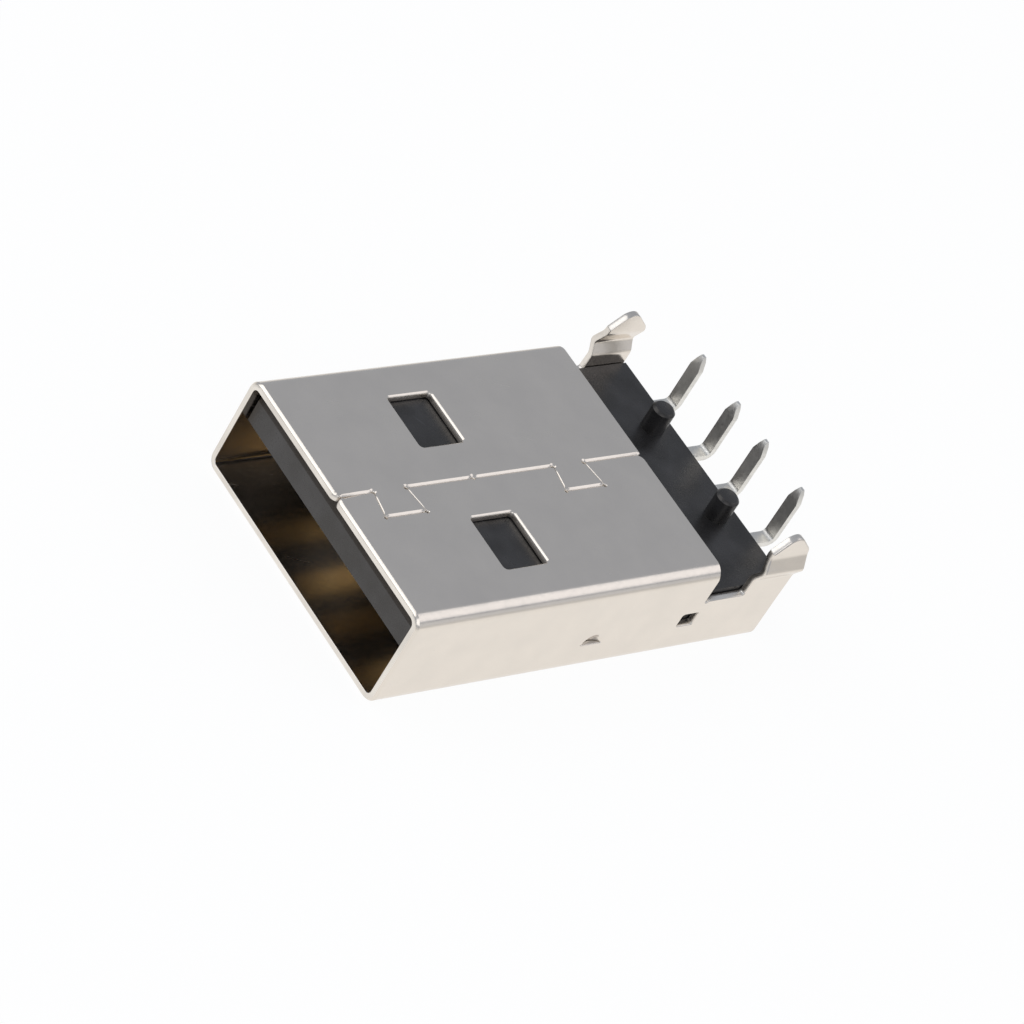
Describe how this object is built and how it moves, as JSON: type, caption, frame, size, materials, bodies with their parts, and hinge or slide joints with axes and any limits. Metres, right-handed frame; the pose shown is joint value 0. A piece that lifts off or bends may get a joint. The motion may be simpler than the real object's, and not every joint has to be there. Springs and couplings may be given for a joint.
{
  "type": "usb-a plug",
  "caption": "Right-angle through-hole USB-A plug: folded metal shell with latch windows, black insulator tongue, board ledge with pegs, kinked legs and bent solder tails.",
  "frame": {"origin": "middle of the part's outline in X and Y, on the flat bottom face of the shell", "axes": "X across the width, +Y from the mouth of the plug towards the solder tails, +Z from the flat bottom face towards the seamed face and the leg tips"},
  "size_m": [0.0126, 0.02, 0.0057],
  "materials": {
    "shell_metal": "nickel-plated sheet, satin",
    "insulator": "black moulded thermoplastic, fine matt",
    "contact_metal": "gold flash in the mouth, tin on the tails"
  },
  "bodies": {
    "root": {"shell": "shell_metal", "housing": "insulator", "contact_1": "contact_metal", "contact_2": "contact_metal", "contact_3": "contact_metal", "contact_4": "contact_metal"}
  },
  "joints": []
}
